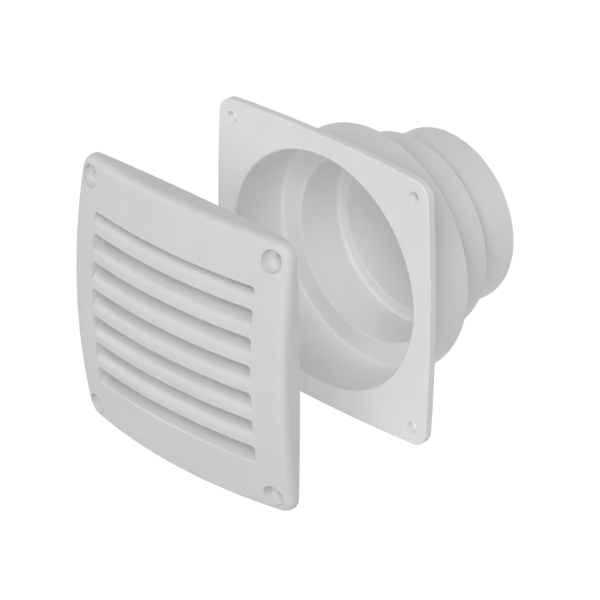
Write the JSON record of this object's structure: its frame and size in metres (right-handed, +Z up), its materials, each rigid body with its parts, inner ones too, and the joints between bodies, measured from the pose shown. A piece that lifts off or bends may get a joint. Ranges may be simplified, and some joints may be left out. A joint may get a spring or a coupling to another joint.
{
  "type": "louvered vent",
  "caption": "Square louvered wall vent: a domed grille with curved blades, and a flange with a stepped round duct spigot for hoses of several sizes.",
  "frame": {"origin": "centre of the flange's rear face, on the duct's axis", "axes": "+Y along the duct towards the hose end, +Z up, so the grille faces -Y and +X is to the right seen from the room"},
  "size_m": [0.142, 0.1862, 0.142],
  "materials": {
    "flange_plastic": "satin",
    "grille_plastic": "satin"
  },
  "bodies": {
    "flange": {"duct_flange": "flange_plastic"},
    "grille": {"louvre_grille": "grille_plastic"}
  },
  "joints": [
    {"name": "grille_fit", "type": "slide", "parent": "flange", "child": "grille", "axis": [0, 1, 0], "range_m": [0, 0.082]}
  ]
}
